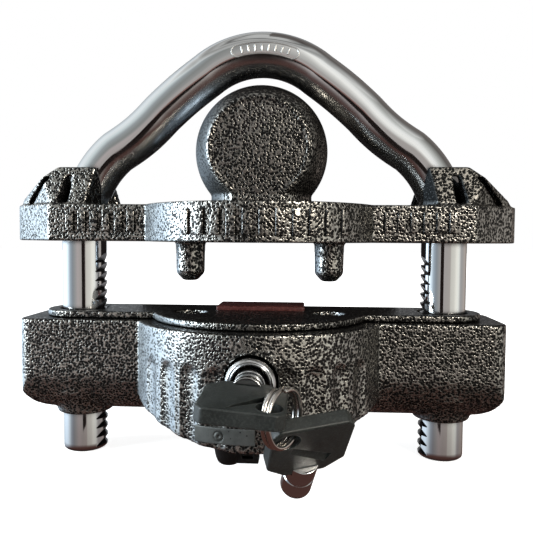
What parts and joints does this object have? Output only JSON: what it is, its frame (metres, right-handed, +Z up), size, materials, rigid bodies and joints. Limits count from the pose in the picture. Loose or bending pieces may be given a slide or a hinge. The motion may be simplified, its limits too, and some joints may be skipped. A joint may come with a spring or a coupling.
{
  "type": "trailer coupler lock",
  "caption": "Trailer coupler lock: toothed bent shackle, cast ball bracket on its legs, and a cast base holding a tubular key lock, with key, split ring and spare key.",
  "frame": {"origin": "on the flat top of the base's raised pad, midway between the shackle's two legs", "axes": "+X to the right-hand leg seen from the keyway side, +Y from the keyway to the back, +Z up along the legs towards the crown of the shackle"},
  "size_m": [0.1812, 0.1018, 0.1524],
  "materials": {
    "hammertone_paint": "black and silver hammertone paint on a casting",
    "chrome_plate": "polished chrome plate",
    "key_plastic": "satin moulded plastic",
    "lock_brass": "turned",
    "spring_steel": "drawn wire",
    "zinc_screw": "zinc plated",
    "bare_steel": "machined and hardened"
  },
  "bodies": {
    "base": {"base_cover": "hammertone_paint", "base_housing": "hammertone_paint", "bushing_pin": "bare_steel", "cover_screw_1": "zinc_screw", "cover_screw_2": "zinc_screw", "cover_screw_3": "zinc_screw", "cover_screw_4": "zinc_screw", "driver_pin_1": "bare_steel", "driver_pin_2": "bare_steel", "driver_pin_3": "bare_steel", "driver_pin_4": "bare_steel", "driver_pin_5": "bare_steel", "driver_pin_6": "bare_steel", "driver_pin_7": "bare_steel", "lock_bushing": "lock_brass", "lock_retaining_pin": "bare_steel", "lock_shell": "chrome_plate", "pawl_spring_left": "spring_steel", "pawl_spring_right": "spring_steel", "pin_spring_1": "spring_steel", "pin_spring_2": "spring_steel", "pin_spring_3": "spring_steel", "pin_spring_4": "spring_steel", "pin_spring_5": "spring_steel", "pin_spring_6": "spring_steel", "pin_spring_7": "spring_steel"},
    "shackle": {"shackle": "chrome_plate"},
    "ball_bracket": {"ball_bracket": "hammertone_paint"},
    "lock_core": {"cam_disc": "bare_steel", "cam_pin_bottom": "bare_steel", "cam_pin_top": "bare_steel", "cam_screw": "zinc_screw", "key_pin_1": "lock_brass", "key_pin_2": "lock_brass", "key_pin_3": "lock_brass", "key_pin_4": "lock_brass", "key_pin_5": "lock_brass", "key_pin_6": "lock_brass", "key_pin_7": "lock_brass", "lock_plug": "bare_steel", "lock_spindle": "bare_steel"},
    "pawl_left": {"pawl_left": "bare_steel"},
    "pawl_right": {"pawl_right": "bare_steel"},
    "key": {"key_1_head": "key_plastic", "key_1_tube": "chrome_plate"},
    "ring": {"key_ring": "bare_steel"},
    "spare_key": {"key_2_head": "key_plastic", "key_2_tube": "chrome_plate"}
  },
  "joints": [
    {"name": "shackle_slide", "type": "slide", "parent": "base", "child": "shackle", "axis": [0, 0, 1], "range_m": [-0.0102, 0.075]},
    {"name": "bracket_slide", "type": "slide", "parent": "shackle", "child": "ball_bracket", "axis": [0, 0, -1], "range_m": [0, 0.0222]},
    {"name": "key_turn", "type": "hinge", "parent": "base", "child": "lock_core", "pos_m": [0, -0.04, -0.0184], "axis": [0, 1, 0], "range_deg": [-90, 0]},
    {"name": "pawl_left_slide", "type": "slide", "parent": "base", "child": "pawl_left", "axis": [-1, 0, 0], "range_m": [0, 0.00339]},
    {"name": "pawl_right_slide", "type": "slide", "parent": "base", "child": "pawl_right", "axis": [1, 0, 0], "range_m": [0, 0.0035]},
    {"name": "key_pull", "type": "slide", "parent": "lock_core", "child": "key", "axis": [0, -1, 0], "range_m": [0, 0.025]},
    {"name": "ring_swing", "type": "hinge", "parent": "key", "child": "ring", "pos_m": [0.0071, -0.073, -0.019], "axis": [0, 0, 1], "range_deg": [-20, 0]},
    {"name": "spare_key_swing", "type": "hinge", "parent": "ring", "child": "spare_key", "pos_m": [0.0102, -0.0675, -0.0216], "axis": [0.8772, -0.4801, 0], "range_deg": [-6, 0]}
  ],
  "couplings": [
    {"joint": "key_turn", "follows": "pawl_left_slide", "rad_per_m": -462.8},
    {"joint": "pawl_right_slide", "follows": "pawl_left_slide", "ratio": 1}
  ]
}
